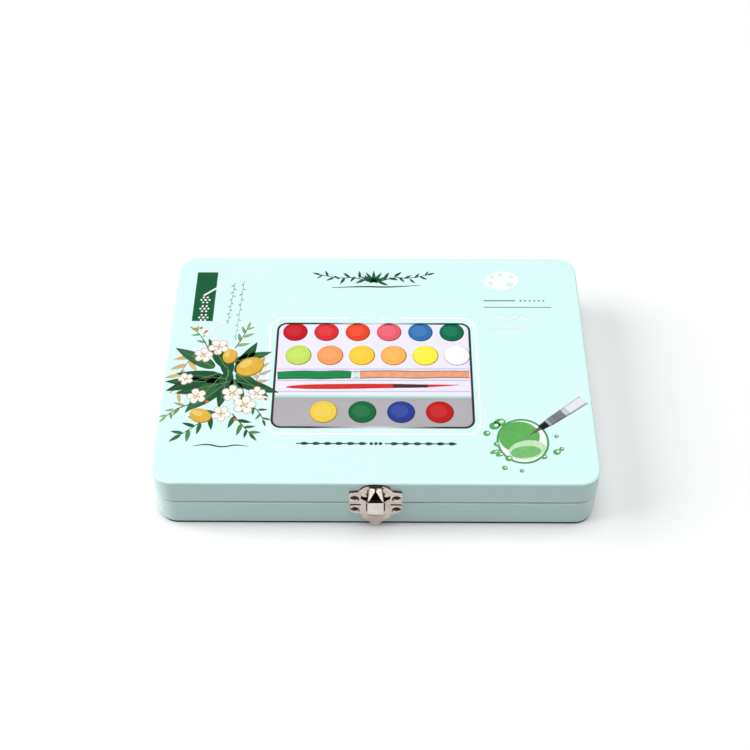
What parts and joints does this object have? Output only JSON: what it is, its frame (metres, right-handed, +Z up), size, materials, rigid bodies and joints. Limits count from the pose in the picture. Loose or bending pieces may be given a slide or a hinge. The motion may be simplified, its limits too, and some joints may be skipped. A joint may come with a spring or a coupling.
{
  "type": "watercolour paint tin",
  "caption": "Flat mint-green hinged steel tin with a front catch, a mixing palette in the lid and a tray of paint cakes, pencil, water brush and sponge.",
  "frame": {"origin": "centre of the case's flat underside", "axes": "+X along the width, to the right seen from the front; +Y from the catch at the front to the hinges at the back; +Z up"},
  "size_m": [0.23, 0.1709, 0.0358],
  "materials": {
    "mint_enamel": "smooth satin enamel on tinplate, mint green",
    "white_plastic": "thermoformed white plastic, semi-gloss",
    "sponge_foam": "open-cell absorbent sponge",
    "pencil_wood": "bare cedar with a painted green rear half",
    "graphite": "graphite lead",
    "clear_plastic": "clear polished plastic",
    "brush_grey": "grey moulded plastic",
    "nylon_tuft": "fine nylon bristles",
    "nickel": "bright nickel plate over pressed steel",
    "paint_01": "pressed dry watercolour pigment, matte",
    "paint_02": "pressed dry watercolour pigment, matte",
    "paint_03": "pressed dry watercolour pigment, matte",
    "paint_04": "pressed dry watercolour pigment, matte",
    "paint_05": "pressed dry watercolour pigment, matte",
    "paint_06": "pressed dry watercolour pigment, matte",
    "paint_07": "pressed dry watercolour pigment, matte",
    "paint_08": "pressed dry watercolour pigment, matte",
    "paint_09": "pressed dry watercolour pigment, matte",
    "paint_10": "pressed dry watercolour pigment, matte",
    "paint_11": "pressed dry watercolour pigment, matte",
    "paint_12": "pressed dry watercolour pigment, matte",
    "paint_13": "pressed dry watercolour pigment, matte",
    "paint_14": "pressed dry watercolour pigment, matte",
    "paint_15": "pressed dry watercolour pigment, matte",
    "paint_16": "pressed dry watercolour pigment, matte",
    "paint_17": "pressed dry watercolour pigment, matte",
    "paint_18": "pressed dry watercolour pigment, matte",
    "paint_19": "pressed dry watercolour pigment, matte",
    "paint_20": "pressed dry watercolour pigment, matte",
    "paint_21": "pressed dry watercolour pigment, matte",
    "paint_22": "pressed dry watercolour pigment, matte",
    "paint_23": "pressed dry watercolour pigment, matte",
    "paint_24": "pressed dry watercolour pigment, matte",
    "paint_25": "pressed dry watercolour pigment, matte",
    "paint_26": "pressed dry watercolour pigment, matte",
    "paint_27": "pressed dry watercolour pigment, matte",
    "paint_28": "pressed dry watercolour pigment, matte",
    "paint_29": "pressed dry watercolour pigment, matte",
    "paint_30": "pressed dry watercolour pigment, matte",
    "paint_31": "pressed dry watercolour pigment, matte",
    "paint_32": "pressed dry watercolour pigment, matte",
    "paint_33": "pressed dry watercolour pigment, matte",
    "paint_34": "pressed dry watercolour pigment, matte",
    "paint_35": "pressed dry watercolour pigment, matte",
    "paint_36": "pressed dry watercolour pigment, matte"
  },
  "bodies": {
    "base": {"base_shell": "mint_enamel", "paint_tray": "white_plastic", "cake_01": "paint_01", "cake_02": "paint_02", "cake_03": "paint_03", "cake_04": "paint_04", "cake_05": "paint_05", "cake_06": "paint_06", "cake_07": "paint_07", "cake_08": "paint_08", "cake_09": "paint_09", "cake_10": "paint_10", "cake_11": "paint_11", "cake_12": "paint_12", "cake_13": "paint_13", "cake_14": "paint_14", "cake_15": "paint_15", "cake_16": "paint_16", "cake_17": "paint_17", "cake_18": "paint_18", "cake_19": "paint_19", "cake_20": "paint_20", "cake_21": "paint_21", "cake_22": "paint_22", "cake_23": "paint_23", "cake_24": "paint_24", "cake_25": "paint_25", "cake_26": "paint_26", "cake_27": "paint_27", "cake_28": "paint_28", "cake_29": "paint_29", "cake_30": "paint_30", "cake_31": "paint_31", "cake_32": "paint_32", "cake_33": "paint_33", "cake_34": "paint_34", "cake_35": "paint_35", "cake_36": "paint_36", "sponge": "sponge_foam", "pencil_casing": "pencil_wood", "pencil_lead": "graphite", "brush_barrel": "clear_plastic", "brush_cap": "clear_plastic", "brush_plug": "brush_grey", "brush_grip": "brush_grey", "brush_tuft": "nylon_tuft", "catch_base_plate": "nickel", "catch_base_rivets": "nickel", "hinge_base_leaves": "nickel", "hinge_pins": "nickel", "hinge_base_rivets": "nickel"},
    "lid": {"lid_shell": "mint_enamel", "mixing_palette": "white_plastic", "catch_lid_plate": "nickel", "catch_pin": "nickel", "catch_lid_rivets": "nickel", "hinge_lid_leaves": "nickel", "hinge_lid_rivets": "nickel"},
    "hasp": {"catch_hasp": "nickel"}
  },
  "joints": [
    {"name": "lid_hinge", "type": "hinge", "parent": "base", "child": "lid", "pos_m": [0, 0.0828, 0.01915], "axis": [-1, 0, 0], "range_deg": [0, 180]},
    {"name": "hasp_hinge", "type": "hinge", "parent": "lid", "child": "hasp", "pos_m": [0, -0.0845, 0.025], "axis": [-1, 0, 0], "range_deg": [0, 100]}
  ]
}
